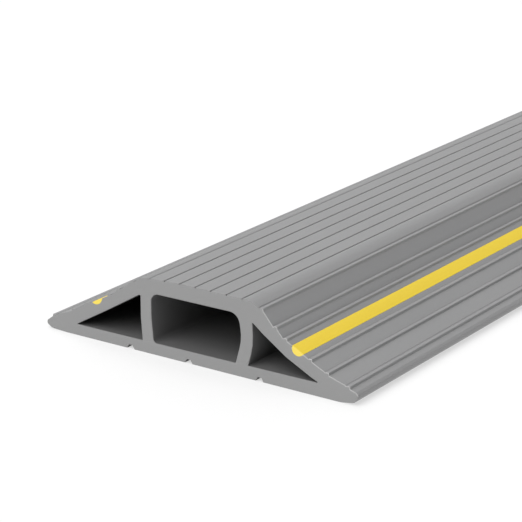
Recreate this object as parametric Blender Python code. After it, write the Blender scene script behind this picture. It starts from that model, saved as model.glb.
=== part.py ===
"""Floor cord cover: a two metre length of soft extrusion that lies on the floor and bridges cords.

One extruded body holds a wide middle channel and a three-cornered channel on each side of it. Two stripes of
a second colour are let into its sloping flanks. X runs across the cover, Y along it and Z up from the floor.
The origin is on the floor, half way along and half way across.
"""

import math

import bpy

# Overall size, in metres.
LENGTH = 2.0
HEIGHT = 0.0180

# The two halves aren't quite alike. What differs is given for each side.
LEFT, RIGHT = -1, 1

# How far the toes reach from the middle of the channels. Every place across is measured from there, and the
# finished outlines are moved so that the whole cover is centred.
TOE_REACH = {LEFT: 0.0403, RIGHT: 0.0417}
CENTRING = (TOE_REACH[LEFT] - TOE_REACH[RIGHT]) / 2

# The tread is the top between the flanks. It falls a little towards its edges, and fine grooves score it.
TREAD_HALF_WIDTH = 0.0146
TREAD_CROWN = {LEFT: 0.0007, RIGHT: 0.0001}
SCORE_COUNT = 7
SCORE_MIDDLE = -0.0003
SCORE_PITCH = 0.00406
SCORE_MOUTH = 0.0004
SCORE_FLOOR = 0.0002
SCORE_DEPTH = 0.0003
SHOULDER_RADIUS = {LEFT: 0.0035, RIGHT: 0.0060}

# Each flank comes down in shallow steps. A step ends in a small bead, and this is the bead's outer edge.
RIB_CRESTS = {
    LEFT: (
        (0.0174, 0.0161),
        (0.0211, 0.0135),
        (0.0236, 0.0116),
        (0.0297, 0.0082),
        (0.0335, 0.0060),
        (0.0387, 0.0036),
    ),
    RIGHT: (
        (0.0173, 0.0168),
        (0.0210, 0.0134),
        (0.0236, 0.0113),
        (0.0300, 0.0080),
        (0.0343, 0.0059),
        (0.0396, 0.0040),
    ),
}
BEAD_WIDTH = 0.0008
BEAD_ROUND = 0.00012
RIB_DROP = 0.0006
RIB_LEAN = 0.0001
# The fine groove along the uphill side of a bead, shallower in the lower three ribs.
NICK_WIDTH = 0.0004
NICK_RISE = 0.0001
NICK_DEPTHS = (0.00028, 0.00028, 0.00028, 0.00012, 0.00012, 0.00012)

# Corners of each toe from the floor up to the lowest rib: x, z and the radius that rounds the corner.
TOES = {
    LEFT: (
        (0.0350, 0.0, 0.0100),
        (0.0389, 0.0002, 0.0016),
        (TOE_REACH[LEFT], 0.0010, 0.0006),
        (TOE_REACH[LEFT], 0.0018, 0.0005),
    ),
    RIGHT: (
        (0.0376, 0.0, 0.0060),
        (0.0409, 0.0006, 0.0010),
        (TOE_REACH[RIGHT], 0.0016, 0.0006),
        (TOE_REACH[RIGHT], 0.0025, 0.0004),
        (0.0411, 0.0030, 0.0006),
    ),
}

# A stripe lies between the third and fourth ribs, sunk into a round-bottomed seat, with a crowned top. The
# width and the depth are the seat's.
STRIPE_MIDDLE = 0.0264
STRIPE_WIDTH = 0.00315
STRIPE_DEPTH = {LEFT: 0.0009, RIGHT: 0.0013}
STRIPE_CROWN = 0.00006
STRIPE_CLEARANCE = 0.0003
STRIPE_STEPS = 12
ABOVE_STRIPE, BELOW_STRIPE = 2, 3

# The channels by their corners: x, z and the radius that rounds the corner. Going round, the faces of a web
# bend once on their way up, and the roof of a side channel bends once on its way down to the tip.
MIDDLE_CHANNEL = (
    (0.01085, 0.00290, 0.0003),
    (0.01220, 0.00880, 0.0100),
    (0.01100, 0.01437, 0.0027),
    (-0.01190, 0.01420, 0.0018),
    (-0.01160, 0.00850, 0.0200),
    (-0.01080, 0.00275, 0.0010),
)
LEFT_CHANNEL = (
    (-0.01380, 0.00272, 0.0001),
    (-0.01445, 0.00800, 0.0200),
    (-0.01470, 0.01340, 0.0003),
    (-0.02335, 0.00790, 0.1000),
    (-0.03200, 0.00260, 0.0001),
)
RIGHT_CHANNEL = (
    (0.01405, 0.00295, 0.0001),
    (0.01520, 0.00780, 0.0138),
    (0.01470, 0.01310, 0.0001),
    (0.02335, 0.00670, 0.0600),
    (0.03200, 0.00308, 0.0001),
)

# Three notches run along the underside, where the base can be slit to lay cords in.
NOTCH_PLACES = (-0.0170, -0.0014, 0.0171)
NOTCH_MOUTH = 0.0020
NOTCH_ROOF = 0.0009
NOTCH_DEPTH = 0.0009

# A round corner is drawn with one straight piece for this much turn.
TURN_STEP = math.radians(12)

GREY = (0.305, 0.305, 0.305, 1.0)
YELLOW = (0.80, 0.58, 0.08, 1.0)


def clear_scene():
    for old in list(bpy.data.objects):
        bpy.data.objects.remove(old, do_unlink=True)


def rounded(corners):
    """The outline through corners of (x, z, radius). A corner with a radius becomes an arc."""
    points = []
    for index, (x, z, radius) in enumerate(corners):
        before = corners[index - 1]
        after = corners[(index + 1) % len(corners)]
        towards_before = math.atan2(before[1] - z, before[0] - x)
        towards_after = math.atan2(after[1] - z, after[0] - x)
        opening = (towards_after - towards_before + math.pi) % math.tau - math.pi
        turn = math.pi - abs(opening)
        if radius == 0 or turn < 1e-6:
            points.append((x, z))
            continue
        tangent = radius * math.tan(turn / 2)
        reach = math.hypot(radius, tangent)
        middle = towards_before + opening / 2
        centre = (x + reach * math.cos(middle), z + reach * math.sin(middle))
        start = (x + tangent * math.cos(towards_before), z + tangent * math.sin(towards_before))
        first = math.atan2(start[1] - centre[1], start[0] - centre[0])
        sweep = -math.copysign(turn, opening)
        steps = max(2, math.ceil(turn / TURN_STEP))
        for step in range(steps + 1):
            angle = first + sweep * step / steps
            points.append((centre[0] + radius * math.cos(angle), centre[1] + radius * math.sin(angle)))
    return points


def side_of(x):
    return LEFT if x < 0 else RIGHT


def tread_height(x):
    return HEIGHT - TREAD_CROWN[side_of(x)] * (x / TREAD_HALF_WIDTH) ** 2


def rib(side, number):
    """Corners of one rib, going uphill: its foot, its bead's two edges, and its nick's floor and lip."""
    x, z = RIB_CRESTS[side][number]
    bead_start = x - BEAD_WIDTH
    return [
        (x + RIB_LEAN, z - RIB_DROP),
        (x, z),
        (bead_start, z),
        (bead_start - NICK_WIDTH / 3, z - NICK_DEPTHS[number]),
        (bead_start - NICK_WIDTH, z + NICK_RISE),
    ]


def stripe_place(side):
    """The flank under a stripe: a point at the stripe's middle, the way downhill and the way out."""
    start = rib(side, ABOVE_STRIPE)[0]
    end = rib(side, BELOW_STRIPE)[-1]
    run = math.dist(start, end)
    along = ((end[0] - start[0]) / run, (end[1] - start[1]) / run)
    outward = (-along[1], along[0])
    share = (STRIPE_MIDDLE - start[0]) / (end[0] - start[0])
    middle = (STRIPE_MIDDLE, start[1] + share * (end[1] - start[1]))
    return middle, along, outward


def on_flank(side, across, height):
    """A point by its distance downhill from the stripe's middle and its height out of the flank."""
    middle, along, outward = stripe_place(side)
    return (
        middle[0] + across * along[0] + height * outward[0],
        middle[1] + across * along[1] + height * outward[1],
    )


def stripe_underside(side, clearance):
    """The stripe's round underside, from its upper edge to its lower one, held back from its seat."""
    depth = STRIPE_DEPTH[side]
    seat_radius = ((STRIPE_WIDTH / 2) ** 2 + depth**2) / (2 * depth)
    centre_height = seat_radius - depth
    radius = seat_radius - clearance
    edge = math.acos(centre_height / radius)
    points = []
    for step in range(STRIPE_STEPS + 1):
        angle = edge * (2 * step / STRIPE_STEPS - 1)
        points.append(on_flank(side, radius * math.sin(angle), centre_height - radius * math.cos(angle)))
    return points


def stripe_top(side):
    """The crowned top of the stripe, from its lower edge back to its upper one, without the two edges."""
    shares = [1 - 2 * step / STRIPE_STEPS for step in range(1, STRIPE_STEPS)]
    half = STRIPE_WIDTH / 2 - STRIPE_CLEARANCE
    return [on_flank(side, half * share, STRIPE_CROWN * (1 - share**2)) for share in shares]


def flank(side):
    """Corners of a flank, with x counted from the middle outwards, from the toe up to the tread."""
    corners = list(TOES[side])
    for number in reversed(range(len(RIB_CRESTS[side]))):
        corners += [(x, z, BEAD_ROUND) for x, z in rib(side, number)]
        if number == BELOW_STRIPE:
            corners += [(x, z, 0.0) for x, z in reversed(stripe_underside(side, 0.0))]
    corners.append((TREAD_HALF_WIDTH, tread_height(side * TREAD_HALF_WIDTH), SHOULDER_RADIUS[side]))
    return corners


def mirrored(corners):
    """The same corners on the other side of the middle, in reverse order."""
    return [(-x, z, radius) for x, z, radius in reversed(corners)]


def tread():
    """Corners of the scored top, from right to left."""
    corners = []
    middle_score = (SCORE_COUNT - 1) / 2
    for number in range(SCORE_COUNT):
        place = SCORE_MIDDLE + (middle_score - number) * SCORE_PITCH
        top = tread_height(place)
        corners += [
            (place + SCORE_MOUTH / 2, top, 0.0),
            (place + SCORE_FLOOR / 2, top - SCORE_DEPTH, 0.0),
            (place - SCORE_FLOOR / 2, top - SCORE_DEPTH, 0.0),
            (place - SCORE_MOUTH / 2, top, 0.0),
        ]
    return corners


def underside():
    """Corners of the notched base, from left to right."""
    corners = []
    for place in NOTCH_PLACES:
        corners += [
            (place - NOTCH_MOUTH / 2, 0.0, 0.0),
            (place - NOTCH_ROOF / 2, NOTCH_DEPTH, 0.0),
            (place + NOTCH_ROOF / 2, NOTCH_DEPTH, 0.0),
            (place + NOTCH_MOUTH / 2, 0.0, 0.0),
        ]
    return corners


def material(name, colour, roughness):
    made = bpy.data.materials.new(name)
    made.use_nodes = True
    shader = made.node_tree.nodes["Principled BSDF"]
    shader.inputs["Base Color"].default_value = colour
    shader.inputs["Roughness"].default_value = roughness
    shader.inputs["Metallic"].default_value = 0.0
    return made


def extruded(name, outlines, finish, collection):
    """A centred solid of the cover's full length, with the first outline outside and the rest as holes."""
    section = bpy.data.curves.new(name, "CURVE")
    section.dimensions = "2D"
    section.fill_mode = "BOTH"
    section.extrude = LENGTH / 2
    for outline in outlines:
        spline = section.splines.new("POLY")
        spline.points.add(len(outline) - 1)
        for point, (x, z) in zip(spline.points, outline):
            point.co = (x + CENTRING, z, 0.0, 1.0)
        spline.use_cyclic_u = True
    section.materials.append(finish)
    solid = bpy.data.objects.new(name, section)
    solid.rotation_euler = (math.radians(90), 0.0, 0.0)
    collection.objects.link(solid)
    return solid


def cover_body(finish, collection):
    section = rounded(underside() + flank(RIGHT) + tread() + mirrored(flank(LEFT)))
    channels = [rounded(corners) for corners in (MIDDLE_CHANNEL, LEFT_CHANNEL, RIGHT_CHANNEL)]
    return extruded("cover_body", [section, *channels], finish, collection)


def stripe(name, side, finish, collection):
    outline = stripe_underside(side, STRIPE_CLEARANCE) + stripe_top(side)
    return extruded(name, [[(side * x, z) for x, z in outline]], finish, collection)


def main():
    clear_scene()
    collection = bpy.data.collections.new("floor_cord_cover")
    bpy.context.scene.collection.children.link(collection)
    grey = material("grey_soft_plastic", GREY, 0.6)
    yellow = material("yellow_soft_plastic", YELLOW, 0.5)
    cover_body(grey, collection)
    stripe("stripe_left", LEFT, yellow, collection)
    stripe("stripe_right", RIGHT, yellow, collection)


main()
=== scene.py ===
"""Finishes a packed floor cord cover: its skin, cut ends and stripes, and the studio it is shown in."""

import math

import bmesh
import bpy
from bpy.props import FloatProperty, FloatVectorProperty, PointerProperty
from mathutils import Matrix, Vector


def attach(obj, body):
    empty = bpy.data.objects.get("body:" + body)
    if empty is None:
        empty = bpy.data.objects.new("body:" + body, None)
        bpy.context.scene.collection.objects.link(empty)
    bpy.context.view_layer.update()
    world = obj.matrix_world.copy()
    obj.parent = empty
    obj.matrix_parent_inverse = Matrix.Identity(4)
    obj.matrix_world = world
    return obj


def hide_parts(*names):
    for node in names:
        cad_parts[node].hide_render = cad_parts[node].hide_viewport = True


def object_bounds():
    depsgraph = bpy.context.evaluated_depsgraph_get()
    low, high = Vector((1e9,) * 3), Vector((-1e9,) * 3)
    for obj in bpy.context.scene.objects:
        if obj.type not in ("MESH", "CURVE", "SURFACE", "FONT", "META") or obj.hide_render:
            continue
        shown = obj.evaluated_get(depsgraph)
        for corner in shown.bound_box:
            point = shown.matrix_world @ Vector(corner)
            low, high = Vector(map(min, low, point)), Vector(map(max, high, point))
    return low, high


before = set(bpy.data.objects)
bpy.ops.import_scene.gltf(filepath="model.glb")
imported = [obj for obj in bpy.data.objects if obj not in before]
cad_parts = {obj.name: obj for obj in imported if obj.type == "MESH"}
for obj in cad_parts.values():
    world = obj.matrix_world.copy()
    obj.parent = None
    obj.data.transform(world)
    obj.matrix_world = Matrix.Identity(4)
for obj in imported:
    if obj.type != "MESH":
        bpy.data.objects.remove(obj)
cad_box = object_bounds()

bl_info = {
    "name": "Floor Cord Cover",
    "version": (1, 0, 0),
    "blender": (4, 5, 0),
    "location": "View3D > Sidebar > Cord Cover",
    "description": "Builds a floor cord cover with scored tread, ribbed flanks and inlaid stripes",
    "category": "Object",
}

# Vertices closer than this are one vertex.
MERGE_DISTANCE = 1e-6
# Edges sharper than this stay sharp when a piece is shaded smooth.
SHARP_ANGLE = math.radians(32)
# The flanks, each with its stripe.
SIDES = ("left", "right")
# Where the faces of the underside's notches lie: how high over the floor, and how far from the middle.
NOTCH_LIFT = (0.0001, 0.0012)
NOTCH_REACH = 0.03
# A face looks down when its normal points lower than this.
LOOKS_DOWN = -0.3
# The painted highlight on the rims of the cut ends starts this far from the middle, at the top of the right
# flank.
HIGHLIGHT_START = 0.0165
# Where the edges of the cut ends stay sharp: this far round a stripe's seat, and this far below the flank.
SEAT_MARGIN = 0.0006
SEAT_START = 0.00005

# Faces of a piece, by what they are. The rim faces atop the right flank take a painted highlight, the
# channels and notches painted shade. Only the body has channels, and notches along its underside.
SKIN, CUT_END, PAINTED_HIGHLIGHT, CHANNEL, NOTCH = range(5)

# How often the patterns on the surfaces repeat in a metre.
FINE_LINES, BROAD_LINES = 1500.0, 260.0
GRAIN, GRAIN_PATCHES = 5200.0, 34.0
SAW_MARKS = 2600.0
FLOOR_PATCHES = 1.5
# What draws a pattern out: the lines along the cover, and the saw's marks across it. Less is longer.
FINE_DRAW, BROAD_DRAW, MARK_DRAW = 0.004, 0.01, 0.02
# The slant of the saw's marks.
MARK_SLANT = math.radians(24)
# Noise seldom leaves this range.
NOISE_RANGE = (0.3, 0.7)
# How deep the patterns are, in metres.
DRAWN_RELIEF, CUT_RELIEF = 0.000008, 0.000012

# The width of the camera's sensor, in millimetres, and how near and how far it sees, in metres.
SENSOR_WIDTH = 36.0
SIGHT = (0.01, 500.0)


# Settings


def colour_setting(name, description, default):
    return FloatVectorProperty(
        name=name, description=description, default=default, size=3, min=0.0, max=1.0, subtype="COLOR"
    )


def direction_setting(name, description, default):
    return FloatVectorProperty(
        name=name, description=description, default=default, size=3, subtype="DIRECTION"
    )


def strength_setting(name, description, default):
    return FloatProperty(name=name, description=description, default=default, min=0.0)


def turn_setting(name, description, default):
    return FloatProperty(
        name=name, description=description, default=default, subtype="ANGLE", unit="ROTATION"
    )


class CoverShape(bpy.types.PropertyGroup):
    """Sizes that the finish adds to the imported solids."""

    edge_break: FloatProperty(
        name="Edge break",
        description="How far the edges of the cut ends are eased",
        default=0.00012,
        min=0.00002,
        max=0.0005,
        subtype="DISTANCE",
        unit="LENGTH",
        precision=5,
    )
    face_length: FloatProperty(
        name="Face length",
        description="The longest face along the cover",
        default=0.05,
        min=0.01,
        max=0.5,
        subtype="DISTANCE",
        unit="LENGTH",
    )
    stripe_gap: FloatProperty(
        name="Stripe gap",
        description="The gap that the packed stripe leaves to its seat, which the finished stripe fills",
        default=0.0003,
        min=0.0,
        max=0.001,
        subtype="DISTANCE",
        unit="LENGTH",
        precision=5,
    )


class CoverFinish(bpy.types.PropertyGroup):
    """Colours and surfaces of the cover."""

    grey: colour_setting(
        "Grey",
        "Colour of the extruded skin",
        (0.305, 0.305, 0.308),
    )
    cut_grey: colour_setting(
        "Cut grey",
        "Colour of the freshly cut ends",
        (0.288, 0.288, 0.288),
    )
    # Painted highlight: a pale grey on the eased rims of the cut ends atop the right flank, standing in for
    # the light that they catch.
    rim_highlight_grey: colour_setting(
        "Rim highlight grey",
        "Colour of the burr that the saw leaves on the cut ends",
        (0.48, 0.48, 0.48),
    )
    # Painted shade: a dark grey inside the channels, standing in for the shade that falls there.
    channel_shade_grey: colour_setting(
        "Channel shade grey",
        "Colour inside the channels",
        (0.14, 0.14, 0.14),
    )
    # Painted shade: a near-black grey inside the notches, standing in for the shade that falls there.
    notch_shade_grey: colour_setting(
        "Notch shade grey",
        "Colour inside the notches of the underside",
        (0.03, 0.03, 0.03),
    )
    yellow: colour_setting(
        "Yellow",
        "Colour of the stripes",
        (0.92, 0.68, 0.056),
    )
    cut_yellow: colour_setting(
        "Cut yellow",
        "Colour of the stripes' cut ends",
        (0.91, 0.705, 0.118),
    )


class CoverStudio(bpy.types.PropertyGroup):
    """The floor, the light and the camera."""

    floor_size: FloatProperty(
        name="Floor size",
        description="Length of the floor's sides",
        default=120.0,
        min=5.0,
        subtype="DISTANCE",
        unit="LENGTH",
    )
    floor_colour: colour_setting(
        "Floor colour",
        "Colour of the floor",
        (0.45, 0.45, 0.45),
    )
    floor_glow: strength_setting(
        "Floor glow",
        "Light that the floor gives of its own, as a light table does, which thins the shadows on it",
        0.54,
    )
    sky_strength: strength_setting(
        "Sky strength",
        "Brightness of the light from all round",
        0.25,
    )
    key_strength: strength_setting(
        "Key strength",
        "Brightness of the large soft lamp before the near end",
        1.88,
    )
    key_direction: direction_setting(
        "Key direction",
        "Where the lamp before the near end stands, seen from the cover",
        (-0.10, -0.68, 0.70),
    )
    fill_strength: strength_setting(
        "Fill strength",
        "Brightness of the large soft lamp overhead",
        0.80,
    )
    fill_direction: direction_setting(
        "Fill direction",
        "Where the lamp overhead stands, seen from the cover",
        (0.0, 0.0, 1.0),
    )
    back_strength: strength_setting(
        "Back strength",
        "Brightness of the large soft lamp behind the cover",
        0.66,
    )
    back_direction: direction_setting(
        "Back direction",
        "Where the lamp behind the cover stands, seen from the cover",
        (-0.577, 0.577, 0.577),
    )
    lamp_spread: FloatProperty(
        name="Lamp spread",
        description="How wide each lamp looks from the cover, which softens the shadows",
        default=math.radians(60),
        min=0.0,
        max=math.pi,
        subtype="ANGLE",
        unit="ROTATION",
    )
    camera_place: FloatVectorProperty(
        name="Camera place",
        description="Where the camera stands, from the middle of the near end's foot",
        default=(0.26828, -0.41538, 0.18410),
        size=3,
        subtype="TRANSLATION",
        unit="LENGTH",
        precision=5,
    )
    camera_yaw: turn_setting(
        "Camera yaw",
        "How far the camera looks to the left of the cover's length",
        0.54638,
    )
    camera_pitch: turn_setting(
        "Camera pitch",
        "How far the camera looks down",
        0.31175,
    )
    camera_roll: turn_setting(
        "Camera roll",
        "How far the camera is turned about its own line of sight",
        -0.03855,
    )
    camera_lens: FloatProperty(
        name="Camera lens",
        description="Focal length in millimetres, on a sensor 36 mm wide",
        default=164.57,
        min=10.0,
        max=1000.0,
    )


# Shader groups


def new_group(name, inputs, outputs):
    """A shader node group with float and vector sockets, given as name and default."""
    group = bpy.data.node_groups.new(name, "ShaderNodeTree")
    for label, default in inputs.items():
        kind = "NodeSocketVector" if default is None else "NodeSocketFloat"
        socket = group.interface.new_socket(name=label, in_out="INPUT", socket_type=kind)
        if default is not None:
            socket.default_value = default
    for label in outputs:
        group.interface.new_socket(name=label, in_out="OUTPUT", socket_type="NodeSocketFloat")
    start = group.nodes.new("NodeGroupInput")
    end = group.nodes.new("NodeGroupOutput")
    return group, start.outputs, end.inputs


def maths(tree, operation, *values):
    """A maths node whose inputs are numbers or other nodes' outputs. Gives back its output."""
    node = tree.nodes.new("ShaderNodeMath")
    node.operation = operation
    for socket, value in zip(node.inputs, values):
        if isinstance(value, (int, float)):
            socket.default_value = value
        else:
            tree.links.new(value, socket)
    return node.outputs[0]


def stretched(tree, vector, scale):
    """The vector with each of its parts multiplied, which squeezes or draws out a pattern read with it."""
    node = tree.nodes.new("ShaderNodeVectorMath")
    node.operation = "MULTIPLY"
    tree.links.new(vector, node.inputs[0])
    node.inputs[1].default_value = scale
    return node.outputs[0]


def noise(tree, vector, scale, detail=2.0, roughness=0.5):
    """Soft noise read with the vector, repeating as often in a metre as the scale says."""
    node = tree.nodes.new("ShaderNodeTexNoise")
    tree.links.new(vector, node.inputs["Vector"])
    node.inputs["Scale"].default_value = scale
    node.inputs["Detail"].default_value = detail
    node.inputs["Roughness"].default_value = roughness
    return node.outputs["Fac"]


def spread_out(tree, value):
    """Noise stretched from its usual range to run from 0 to 1, and held between them."""
    node = tree.nodes.new("ShaderNodeMapRange")
    node.clamp = True
    tree.links.new(value, node.inputs["Value"])
    node.inputs["From Min"].default_value, node.inputs["From Max"].default_value = NOISE_RANGE
    return node.outputs["Result"]


def die_lines_group():
    """Faint lines that the die draws along an extrusion, each drifting slowly on its way along it."""
    group, given, made = new_group("die_lines", {"Vector": None, "Strength": 1.0}, ["Lines", "Height"])
    fine = noise(group, stretched(group, given["Vector"], (1.0, FINE_DRAW, 1.0)), FINE_LINES, 3.0, 0.6)
    broad = noise(group, stretched(group, given["Vector"], (1.0, BROAD_DRAW, 1.0)), BROAD_LINES)
    mixed = maths(group, "ADD", maths(group, "MULTIPLY", fine, 0.55), maths(group, "MULTIPLY", broad, 0.45))
    lines = spread_out(group, mixed)
    group.links.new(lines, made["Lines"])
    group.links.new(maths(group, "MULTIPLY", lines, given["Strength"]), made["Height"])
    return group


def grain_group():
    """The fine matt grain of soft plastic, with soft patches where it is a little coarser."""
    group, given, made = new_group("matt_grain", {"Vector": None, "Strength": 1.0}, ["Patches", "Height"])
    grain = noise(group, given["Vector"], GRAIN, 3.0, 0.65)
    patches = spread_out(group, noise(group, given["Vector"], GRAIN_PATCHES, 3.0))
    coarse = maths(group, "MULTIPLY_ADD", patches, 0.4, 0.8)
    height = maths(group, "MULTIPLY", maths(group, "MULTIPLY", grain, coarse), given["Strength"])
    group.links.new(patches, made["Patches"])
    group.links.new(height, made["Height"])
    return group


def cut_marks_group():
    """Shallow marks that the saw leaves on an end, running across it at a slight slant."""
    group, given, made = new_group("cut_marks", {"Vector": None, "Strength": 1.0}, ["Marks", "Height"])
    turn = group.nodes.new("ShaderNodeVectorRotate")
    turn.rotation_type = "Y_AXIS"
    turn.inputs["Angle"].default_value = MARK_SLANT
    group.links.new(given["Vector"], turn.inputs["Vector"])
    marks = noise(group, stretched(group, turn.outputs["Vector"], (MARK_DRAW, 1.0, 1.0)), SAW_MARKS)
    marks = spread_out(group, marks)
    group.links.new(marks, made["Marks"])
    group.links.new(maths(group, "MULTIPLY", marks, given["Strength"]), made["Height"])
    return group


def shared_group(name, maker):
    """The named shader group, made the first time that it is asked for."""
    return bpy.data.node_groups.get(name) or maker()


def effect(tree, name, maker, vector, strength):
    """A shared effect placed in a material, reading the given vector."""
    node = tree.nodes.new("ShaderNodeGroup")
    node.node_tree = shared_group(name, maker)
    tree.links.new(vector, node.inputs["Vector"])
    node.inputs["Strength"].default_value = strength
    return node.outputs


# Materials


def principled(name, roughness, specular):
    """A new material with its shader, its node tree and the object coordinates."""
    made = bpy.data.materials.new(name)
    made.use_nodes = True
    tree = made.node_tree
    shader = tree.nodes["Principled BSDF"]
    shader.inputs["Metallic"].default_value = 0.0
    shader.inputs["Roughness"].default_value = roughness
    shader.inputs["Specular IOR Level"].default_value = specular
    place = tree.nodes.new("ShaderNodeTexCoord").outputs["Object"]
    return made, tree, shader, place


def shaded_colour(tree, shader, colour, value, spread):
    """Base colour that goes from a little darker to a little lighter than the given one with the value."""
    mix = tree.nodes.new("ShaderNodeMix")
    mix.data_type = "RGBA"
    tree.links.new(value, mix.inputs["Factor"])
    mix.inputs["A"].default_value = (*(part * (1 - spread) for part in colour), 1.0)
    mix.inputs["B"].default_value = (*(min(1.0, part * (1 + spread)) for part in colour), 1.0)
    tree.links.new(mix.outputs["Result"], shader.inputs["Base Color"])


def varied_roughness(tree, shader, value, low, high):
    """Roughness that goes from low to high with the value."""
    node = tree.nodes.new("ShaderNodeMapRange")
    tree.links.new(value, node.inputs["Value"])
    node.inputs["To Min"].default_value = low
    node.inputs["To Max"].default_value = high
    tree.links.new(node.outputs["Result"], shader.inputs["Roughness"])


def bumped(tree, shader, height, distance):
    """Relief from the height, as deep as the distance at most."""
    node = tree.nodes.new("ShaderNodeBump")
    node.inputs["Strength"].default_value = 1.0
    node.inputs["Distance"].default_value = distance
    tree.links.new(height, node.inputs["Height"])
    tree.links.new(node.outputs["Normal"], shader.inputs["Normal"])


def drawn_vinyl(name, colour, low, high, spread):
    """Soft plastic as it leaves the die: matt, drawn in faint lines along its length."""
    made, tree, shader, place = principled(name, roughness=high, specular=0.28)
    lines = effect(tree, "die_lines", die_lines_group, place, 1.0)
    grain = effect(tree, "matt_grain", grain_group, place, 0.7)
    both = maths(tree, "MULTIPLY_ADD", lines["Lines"], 0.6, maths(tree, "MULTIPLY", grain["Patches"], 0.4))
    shaded_colour(tree, shader, colour, both, spread)
    varied_roughness(tree, shader, lines["Lines"], low, high)
    bumped(tree, shader, maths(tree, "ADD", lines["Height"], grain["Height"]), DRAWN_RELIEF)
    return made


def cut_vinyl(name, colour):
    """Soft plastic where the saw went through it."""
    made, tree, shader, place = principled(name, roughness=0.8, specular=0.35)
    marks = effect(tree, "cut_marks", cut_marks_group, place, 1.0)
    grain = effect(tree, "matt_grain", grain_group, place, 1.0)
    both = maths(tree, "MULTIPLY_ADD", marks["Marks"], 0.5, maths(tree, "MULTIPLY", grain["Patches"], 0.5))
    shaded_colour(tree, shader, colour, both, spread=0.02)
    varied_roughness(tree, shader, marks["Marks"], low=0.72, high=0.86)
    bumped(tree, shader, maths(tree, "ADD", marks["Height"], grain["Height"]), CUT_RELIEF)
    return made


# Pieces


def merged_copy(node):
    """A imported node's solid, with its loose triangles joined."""
    solid = bmesh.new()
    solid.from_mesh(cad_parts[node].data)
    bmesh.ops.remove_doubles(solid, verts=solid.verts[:], dist=MERGE_DISTANCE)
    return solid


def across(a, b):
    """How far two vertices lie apart across the cover, whatever their places along it."""
    return math.hypot(a.co.x - b.co.x, a.co.z - b.co.z)


def drop_diagonals(solid):
    """Join the two triangles of each long flat side into one face."""
    length = cad_box[1].y - cad_box[0].y
    diagonals = [
        edge
        for edge in solid.edges
        if across(*edge.verts) > MERGE_DISTANCE and edge.calc_length() > length / 2
    ]
    bmesh.ops.dissolve_edges(solid, edges=diagonals, use_verts=False)


def lies_at(face, place):
    """Whether the whole face lies at one place along the cover."""
    return all(abs(vertex.co.y - place) < MERGE_DISTANCE for vertex in face.verts)


def stripe_top(solid):
    """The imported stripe's own axes, about the middle of its top, with half its width and its depth."""
    near = min(vertex.co.y for vertex in solid.verts)
    ends = [vertex.co for vertex in solid.verts if vertex.co.y < near + MERGE_DISTANCE]
    left, right = min(ends, key=lambda place: place.x), max(ends, key=lambda place: place.x)
    middle = (left + right) / 2
    middle.y = 0.0
    slant = math.atan2(left.z - right.z, right.x - left.x)
    axes = Matrix.Translation(middle) @ Matrix.Rotation(slant, 4, "Y")
    half = math.hypot(right.x - left.x, right.z - left.z) / 2
    depth = -min((axes.inverted() @ vertex.co).z for vertex in solid.verts)
    return axes, half, depth


def in_seat(place, tops):
    """Whether a place lies where a stripe meets its seat, below the surface of the flank."""
    for axes, half, depth in tops:
        own = axes.inverted() @ place
        if abs(own.x) < half + SEAT_MARGIN and -depth - SEAT_MARGIN < own.z < -SEAT_START:
            return True
    return False


def takes_rim_highlight(face, place):
    """Whether a face of a cut end's rim takes the painted highlight: on top of the right flank and not at a
    channel's mouth.
    """
    beside = {other.material_index for edge in face.edges for other in edge.link_faces}
    on_flank = face.calc_center_median().x > HIGHLIGHT_START and face.normal.z > 0
    return on_flank and CHANNEL not in beside and not lies_at(face, place)


def ease_cut_ends(solid, width, tops):
    """Take the sharp edge off both cut ends, all but where stripe and seat meet."""
    for end, place in ((-1, cad_box[0].y), (1, cad_box[1].y)):
        cap = [face for face in solid.faces if lies_at(face, place)]
        rim = bmesh.ops.inset_region(solid, faces=cap, thickness=width, use_even_offset=True)["faces"]
        inner = {vertex for face in cap for vertex in face.verts}
        outer = {vertex for face in rim for vertex in face.verts} - inner
        free = [vertex for vertex in outer if not in_seat(vertex.co, tops)]
        bmesh.ops.translate(solid, verts=free, vec=(0.0, -end * width, 0.0))
        outline = list({edge for face in rim for edge in face.edges if set(edge.verts) <= inner})
        bmesh.ops.delete(solid, geom=cap, context="FACES")
        outward = (0.0, end, 0.0)
        filled = bmesh.ops.triangle_fill(solid, use_beauty=True, edges=outline, normal=outward)
        for face in rim:
            face.normal_update()
            # Rim faces atop the right flank get the pale grey of the painted highlight.
            face.material_index = PAINTED_HIGHLIGHT if takes_rim_highlight(face, place) else CUT_END
        for face in filled["geom"]:
            if isinstance(face, bmesh.types.BMFace):
                face.material_index = CUT_END
    bmesh.ops.remove_doubles(solid, verts=solid.verts[:], dist=MERGE_DISTANCE)
    turn_outwards(solid)


def turn_outwards(solid):
    """Make every face of a closed piece point out of it."""
    bmesh.ops.recalc_face_normals(solid, faces=solid.faces[:])
    if solid.calc_volume(signed=True) < 0:
        bmesh.ops.reverse_faces(solid, faces=solid.faces[:])


def cut_to_lengths(solid, longest):
    """Cut the long faces across, so that none is a sliver as long as the cover."""
    low, high = cad_box[0].y, cad_box[1].y
    count = math.ceil((high - low) / longest)
    for number in range(1, count):
        place = low + (high - low) * number / count
        bmesh.ops.bisect_plane(
            solid,
            geom=solid.verts[:] + solid.edges[:] + solid.faces[:],
            plane_co=(0.0, place, 0.0),
            plane_no=(0.0, 1.0, 0.0),
            dist=MERGE_DISTANCE / 10,
        )


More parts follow.
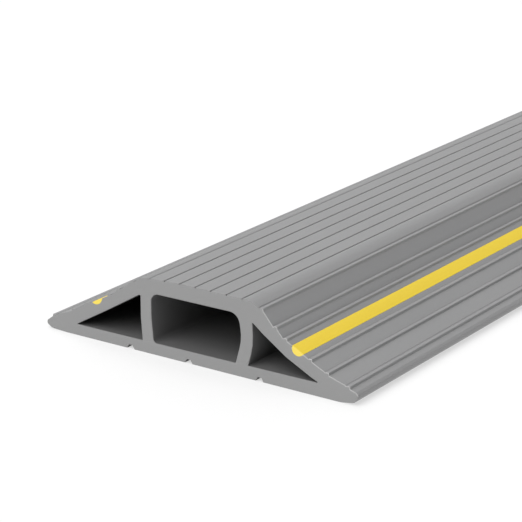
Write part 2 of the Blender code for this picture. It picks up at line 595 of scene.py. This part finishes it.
def finished(name, solid, materials, node):
    """Make an object from a piece's mesh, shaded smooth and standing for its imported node."""
    mesh = bpy.data.meshes.new(name)
    solid.to_mesh(mesh)
    solid.free()
    for material in materials:
        mesh.materials.append(material)
    mesh.shade_smooth()
    mesh.set_sharp_from_angle(angle=SHARP_ANGLE)
    piece = bpy.data.objects.new(name, mesh)
    bpy.context.scene.collection.objects.link(piece)
    weighted = piece.modifiers.new("flat faces lead", "WEIGHTED_NORMAL")
    weighted.keep_sharp = True
    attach(piece, "root")
    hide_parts(node)


def mark_faces(solid, tunnels):
    """Give each face of the body the number of its material."""
    for face in solid.faces:
        if is_cap(face):
            face.material_index = CUT_END
        elif face in tunnels:
            face.material_index = CHANNEL
        elif in_notch(face):
            face.material_index = NOTCH
        else:
            face.material_index = SKIN


def is_cap(face):
    """Whether the face is a cut end."""
    return lies_at(face, cad_box[0].y) or lies_at(face, cad_box[1].y)


def in_notch(face):
    """Whether a long face belongs to one of the notches that run along the underside, between the toes."""
    middle = face.calc_center_median()
    lift = middle.z - cad_box[0].z
    in_reach = NOTCH_LIFT[0] < lift < NOTCH_LIFT[1] and abs(middle.x) < NOTCH_REACH
    return in_reach and face.normal.z < LOOKS_DOWN


def long_faces_from(start):
    """All faces joined to the first one without crossing a cut end."""
    found = {start}
    waiting = [start]
    while waiting:
        for edge in waiting.pop().edges:
            for face in edge.link_faces:
                if face not in found and not is_cap(face):
                    found.add(face)
                    waiting.append(face)
    return found


def tunnel_faces(solid):
    """The faces that line the channels: every long face that the outside's doesn't reach."""
    long_faces = {face for face in solid.faces if not is_cap(face)}
    highest = max(long_faces, key=lambda face: face.calc_center_median().z)
    return long_faces - long_faces_from(highest)


class CORDCOVER_OT_body(bpy.types.Operator):
    """Build the grey body with its cut ends and channels"""

    bl_idname = "cord_cover.body"
    bl_label = "Build Body"

    def execute(self, context):
        shape = context.scene.cord_cover_shape
        finish = context.scene.cord_cover_finish
        tops = []
        for side in SIDES:
            stripe = merged_copy(f"stripe_{side}")
            tops.append(stripe_top(stripe))
            stripe.free()
        solid = merged_copy("cover_body")
        drop_diagonals(solid)
        mark_faces(solid, tunnel_faces(solid))
        ease_cut_ends(solid, shape.edge_break, tops)
        cut_to_lengths(solid, shape.face_length)
        materials = [
            drawn_vinyl("grey_vinyl", finish.grey, low=0.50, high=0.62, spread=0.035),
            cut_vinyl("grey_vinyl_cut", finish.cut_grey),
            # The pale rim grey is a painted highlight.
            cut_vinyl("grey_vinyl_rim_highlight", finish.rim_highlight_grey),
            # The dark grey in the channels is painted shade.
            drawn_vinyl("grey_vinyl_channel_shade", finish.channel_shade_grey, low=0.6, high=0.7, spread=0.03),
            # The near-black grey in the notches is painted shade.
            drawn_vinyl("grey_vinyl_notch_shade", finish.notch_shade_grey, low=0.6, high=0.7, spread=0.03),
        ]
        finished("body_finished", solid, materials, "cover_body")
        return {"FINISHED"}


def fill_seat(solid, top, gap):
    """Grow the stripe until it meets its seat, about the middle of its top, which stays where it is."""
    axes, half, depth = top
    radius = (half**2 + depth**2) / (2 * depth)
    centre = radius - depth
    seat_half = math.sqrt((radius + gap) ** 2 - centre**2)
    growth = (seat_half / half, 1.0, (depth + gap) / depth)
    bmesh.ops.scale(solid, vec=growth, space=axes.inverted(), verts=solid.verts[:])


class CORDCOVER_OT_stripes(bpy.types.Operator):
    """Build the two yellow stripes, filling their seats in the flanks"""

    bl_idname = "cord_cover.stripes"
    bl_label = "Build Stripes"

    def execute(self, context):
        shape = context.scene.cord_cover_shape
        finish = context.scene.cord_cover_finish
        yellow = drawn_vinyl("yellow_vinyl", finish.yellow, low=0.45, high=0.58, spread=0.03)
        cut_yellow = cut_vinyl("yellow_vinyl_cut", finish.cut_yellow)
        # A stripe's rim faces that would take the painted highlight are as yellow as its end.
        materials = [yellow, cut_yellow, cut_yellow]
        for side in SIDES:
            solid = merged_copy(f"stripe_{side}")
            top = stripe_top(solid)
            drop_diagonals(solid)
            fill_seat(solid, top, shape.stripe_gap)
            ease_cut_ends(solid, shape.edge_break, [top])
            cut_to_lengths(solid, shape.face_length)
            finished(f"stripe_{side}_finished", solid, materials, f"stripe_{side}")
        return {"FINISHED"}


# Studio


def floor_material(colour, glow):
    """Pale and matt, with hardly visible patches and a glow of its own."""
    made, tree, shader, place = principled("pale_floor", roughness=0.9, specular=0.1)
    patches = spread_out(tree, noise(tree, place, FLOOR_PATCHES))
    shaded_colour(tree, shader, colour, patches, spread=0.004)
    shader.inputs["Emission Color"].default_value = (1.0, 1.0, 1.0, 1.0)
    shader.inputs["Emission Strength"].default_value = glow
    return made


def build_floor(studio):
    """A level sheet at the cover's foot."""
    grid = bmesh.new()
    bmesh.ops.create_grid(grid, x_segments=1, y_segments=1, size=studio.floor_size / 2)
    mesh = bpy.data.meshes.new("floor")
    grid.to_mesh(mesh)
    grid.free()
    mesh.materials.append(floor_material(studio.floor_colour, studio.floor_glow))
    floor = bpy.data.objects.new("floor", mesh)
    floor.location.z = cad_box[0].z
    bpy.context.scene.collection.objects.link(floor)


def build_sky(studio):
    """Even white light from all round."""
    world = bpy.data.worlds.new("studio")
    world.use_nodes = True
    background = world.node_tree.nodes["Background"]
    background.inputs["Color"].default_value = (1.0, 1.0, 1.0, 1.0)
    background.inputs["Strength"].default_value = studio.sky_strength
    bpy.context.scene.world = world


def build_lamp(name, strength, direction, spread):
    """A large soft lamp, far away in the given direction."""
    lamp = bpy.data.lights.new(name, "SUN")
    lamp.energy = strength
    lamp.angle = spread
    holder = bpy.data.objects.new(name, lamp)
    holder.rotation_mode = "QUATERNION"
    holder.rotation_quaternion = Vector(direction).to_track_quat("Z", "Y")
    bpy.context.scene.collection.objects.link(holder)


def build_camera(studio):
    """The camera at the photo's angle. It stands by its place from the near end's foot."""
    yaw, pitch, roll = studio.camera_yaw, studio.camera_pitch, studio.camera_roll
    forward = Vector((-math.sin(yaw) * math.cos(pitch), math.cos(yaw) * math.cos(pitch), -math.sin(pitch)))
    level = Vector((math.cos(yaw), math.sin(yaw), 0.0))
    down = forward.cross(level)
    right = math.cos(roll) * level + math.sin(roll) * down
    down = math.cos(roll) * down - math.sin(roll) * level
    near_foot = Vector((0.0, cad_box[0].y, cad_box[0].z))
    view = bpy.data.cameras.new("camera")
    view.sensor_width = SENSOR_WIDTH
    view.lens = studio.camera_lens
    view.clip_start, view.clip_end = SIGHT
    camera = bpy.data.objects.new("camera", view)
    turn = Matrix((right, -down, -forward)).transposed().to_4x4()
    camera.matrix_world = Matrix.Translation(near_foot + Vector(studio.camera_place)) @ turn
    bpy.context.scene.collection.objects.link(camera)
    bpy.context.scene.camera = camera


class CORDCOVER_OT_stage(bpy.types.Operator):
    """Build the pale floor, the soft light and the camera"""

    bl_idname = "cord_cover.stage"
    bl_label = "Build Stage"

    def execute(self, context):
        studio = context.scene.cord_cover_studio
        build_floor(studio)
        build_sky(studio)
        build_lamp("key", studio.key_strength, studio.key_direction, studio.lamp_spread)
        build_lamp("fill", studio.fill_strength, studio.fill_direction, studio.lamp_spread)
        build_lamp("back", studio.back_strength, studio.back_direction, studio.lamp_spread)
        build_camera(studio)
        context.scene.view_settings.view_transform = "Standard"
        return {"FINISHED"}


class CORDCOVER_PT_panel(bpy.types.Panel):
    """Lists the cover's settings and the steps that build it"""

    bl_idname = "CORDCOVER_PT_panel"
    bl_label = "Cord Cover"
    bl_space_type = "VIEW_3D"
    bl_region_type = "UI"
    bl_category = "Cord Cover"

    def draw(self, context):
        scene = context.scene
        for group in (scene.cord_cover_shape, scene.cord_cover_finish, scene.cord_cover_studio):
            box = self.layout.box()
            for name in group.__annotations__:
                box.prop(group, name)
        for operator in (CORDCOVER_OT_body, CORDCOVER_OT_stripes, CORDCOVER_OT_stage):
            self.layout.operator(operator.bl_idname)


CLASSES = (
    CoverShape,
    CoverFinish,
    CoverStudio,
    CORDCOVER_OT_body,
    CORDCOVER_OT_stripes,
    CORDCOVER_OT_stage,
    CORDCOVER_PT_panel,
)


def register():
    for kind in CLASSES:
        bpy.utils.register_class(kind)
    bpy.types.Scene.cord_cover_shape = PointerProperty(type=CoverShape)
    bpy.types.Scene.cord_cover_finish = PointerProperty(type=CoverFinish)
    bpy.types.Scene.cord_cover_studio = PointerProperty(type=CoverStudio)


def unregister():
    del bpy.types.Scene.cord_cover_studio
    del bpy.types.Scene.cord_cover_finish
    del bpy.types.Scene.cord_cover_shape
    for kind in reversed(CLASSES):
        bpy.utils.unregister_class(kind)


def main():
    register()
    bpy.ops.cord_cover.body()
    bpy.ops.cord_cover.stripes()
    bpy.ops.cord_cover.stage()


if __name__ == "__main__":
    main()
